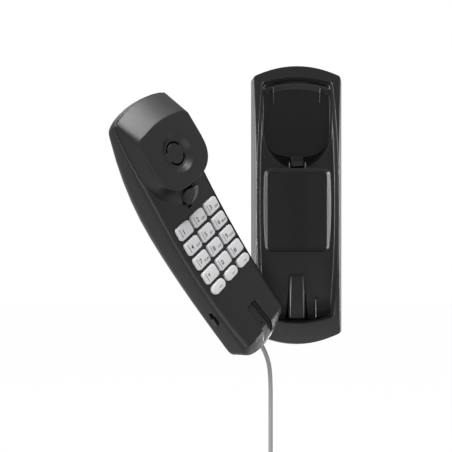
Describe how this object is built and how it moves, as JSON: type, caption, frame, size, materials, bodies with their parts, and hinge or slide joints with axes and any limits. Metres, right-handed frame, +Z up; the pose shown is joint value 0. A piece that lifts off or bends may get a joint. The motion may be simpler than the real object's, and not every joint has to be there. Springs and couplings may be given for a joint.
{
  "type": "slimline wall phone",
  "caption": "Black slimline wall phone: a one-piece handset with grey keys on its inner face, lifted off a shallow wall cradle, and a thin round line cord with a spare coil and plug.",
  "frame": {"origin": "centre of the cradle's flat back, which lies on the wall", "axes": "+Z up the wall, -Y out of the wall towards the room, +X to the right of someone facing the phone"},
  "size_m": [0.1466, 0.1275, 0.3594],
  "materials": {
    "black_plastic": "satin",
    "glossy_black": "gloss",
    "grey_keys": "satin",
    "dark_rubber": "matte",
    "cord_grey": "satin",
    "clear_plug": "gloss",
    "contact_brass": "polished",
    "steel": "brushed",
    "board_green": "satin",
    "dark_components": "matte"
  },
  "bodies": {
    "cradle": {"base_shell": "black_plastic", "base_back_plate": "black_plastic", "base_screws": "steel", "hook_tab": "black_plastic"},
    "handset": {"front_shell": "black_plastic", "back_shell": "black_plastic", "shell_screws": "steel", "keypad_mat": "dark_rubber", "circuit_board": "board_green", "board_components": "dark_components", "receiver_capsule": "steel", "receiver_gasket": "dark_rubber", "microphone_capsule": "steel", "microphone_boot": "dark_rubber", "ringer_buzzer": "dark_components", "ballast_weight": "steel", "hook_lever_pin": "steel", "hook_switch": "dark_components", "ringer_switch_body": "steel", "cord_strain_relief": "dark_rubber", "cord_run": "cord_grey", "cord_coil": "cord_grey", "cord_tie": "glossy_black", "line_plug": "clear_plug", "plug_contacts": "contact_brass"},
    "key_1": {"key_1": "grey_keys"},
    "key_2": {"key_2": "grey_keys"},
    "key_3": {"key_3": "grey_keys"},
    "key_4": {"key_4": "grey_keys"},
    "key_5": {"key_5": "grey_keys"},
    "key_6": {"key_6": "grey_keys"},
    "key_7": {"key_7": "grey_keys"},
    "key_8": {"key_8": "grey_keys"},
    "key_9": {"key_9": "grey_keys"},
    "key_star": {"key_star": "grey_keys"},
    "key_0": {"key_0": "grey_keys"},
    "key_hash": {"key_hash": "grey_keys"},
    "function_key_left": {"function_key_left": "grey_keys"},
    "function_key_middle": {"function_key_middle": "grey_keys"},
    "function_key_right": {"function_key_right": "grey_keys"},
    "hook_lever": {"hook_lever": "black_plastic"},
    "ringer_switch_knob": {"ringer_switch_knob": "glossy_black"}
  },
  "joints": [
    {"name": "handset_swing", "type": "hinge", "parent": "cradle", "child": "handset", "pos_m": [-0.0475, -0.035, 0], "axis": [-0.3211, -0.0708, 0.9444], "range_deg": [0, 118]},
    {"name": "key_1_press", "type": "slide", "parent": "handset", "child": "key_1", "axis": [-0.7398, 0.6608, -0.127], "range_m": [0, 0.001], "stiffness_N_per_m": 400, "springref_m": -0.001},
    {"name": "key_2_press", "type": "slide", "parent": "handset", "child": "key_2", "axis": [-0.7398, 0.6608, -0.127], "range_m": [0, 0.001], "stiffness_N_per_m": 400, "springref_m": -0.001},
    {"name": "key_3_press", "type": "slide", "parent": "handset", "child": "key_3", "axis": [-0.7398, 0.6608, -0.127], "range_m": [0, 0.001], "stiffness_N_per_m": 400, "springref_m": -0.001},
    {"name": "key_4_press", "type": "slide", "parent": "handset", "child": "key_4", "axis": [-0.7398, 0.6608, -0.127], "range_m": [0, 0.001], "stiffness_N_per_m": 400, "springref_m": -0.001},
    {"name": "key_5_press", "type": "slide", "parent": "handset", "child": "key_5", "axis": [-0.7398, 0.6608, -0.127], "range_m": [0, 0.001], "stiffness_N_per_m": 400, "springref_m": -0.001},
    {"name": "key_6_press", "type": "slide", "parent": "handset", "child": "key_6", "axis": [-0.7398, 0.6608, -0.127], "range_m": [0, 0.001], "stiffness_N_per_m": 400, "springref_m": -0.001},
    {"name": "key_7_press", "type": "slide", "parent": "handset", "child": "key_7", "axis": [-0.7398, 0.6608, -0.127], "range_m": [0, 0.001], "stiffness_N_per_m": 400, "springref_m": -0.001},
    {"name": "key_8_press", "type": "slide", "parent": "handset", "child": "key_8", "axis": [-0.7398, 0.6608, -0.127], "range_m": [0, 0.001], "stiffness_N_per_m": 400, "springref_m": -0.001},
    {"name": "key_9_press", "type": "slide", "parent": "handset", "child": "key_9", "axis": [-0.7398, 0.6608, -0.127], "range_m": [0, 0.001], "stiffness_N_per_m": 400, "springref_m": -0.001},
    {"name": "key_star_press", "type": "slide", "parent": "handset", "child": "key_star", "axis": [-0.7398, 0.6608, -0.127], "range_m": [0, 0.001], "stiffness_N_per_m": 400, "springref_m": -0.001},
    {"name": "key_0_press", "type": "slide", "parent": "handset", "child": "key_0", "axis": [-0.7398, 0.6608, -0.127], "range_m": [0, 0.001], "stiffness_N_per_m": 400, "springref_m": -0.001},
    {"name": "key_hash_press", "type": "slide", "parent": "handset", "child": "key_hash", "axis": [-0.7398, 0.6608, -0.127], "range_m": [0, 0.001], "stiffness_N_per_m": 400, "springref_m": -0.001},
    {"name": "function_key_left_press", "type": "slide", "parent": "handset", "child": "function_key_left", "axis": [-0.7398, 0.6608, -0.127], "range_m": [0, 0.001], "stiffness_N_per_m": 400, "springref_m": -0.001},
    {"name": "function_key_middle_press", "type": "slide", "parent": "handset", "child": "function_key_middle", "axis": [-0.7398, 0.6608, -0.127], "range_m": [0, 0.001], "stiffness_N_per_m": 400, "springref_m": -0.001},
    {"name": "function_key_right_press", "type": "slide", "parent": "handset", "child": "function_key_right", "axis": [-0.7398, 0.6608, -0.127], "range_m": [0, 0.001], "stiffness_N_per_m": 400, "springref_m": -0.001},
    {"name": "hook_lever_press", "type": "hinge", "parent": "handset", "child": "hook_lever", "pos_m": [-0.07279, -0.08156, -0.00827], "axis": [-0.497, -0.6639, -0.5588], "range_deg": [0, 38], "stiffness_Nm_per_rad": 0.01, "springref_deg": -17.19},
    {"name": "ringer_switch_slide", "type": "slide", "parent": "handset", "child": "ringer_switch_knob", "axis": [-0.4535, -0.3503, 0.8195], "range_m": [0, 0.003]}
  ]
}
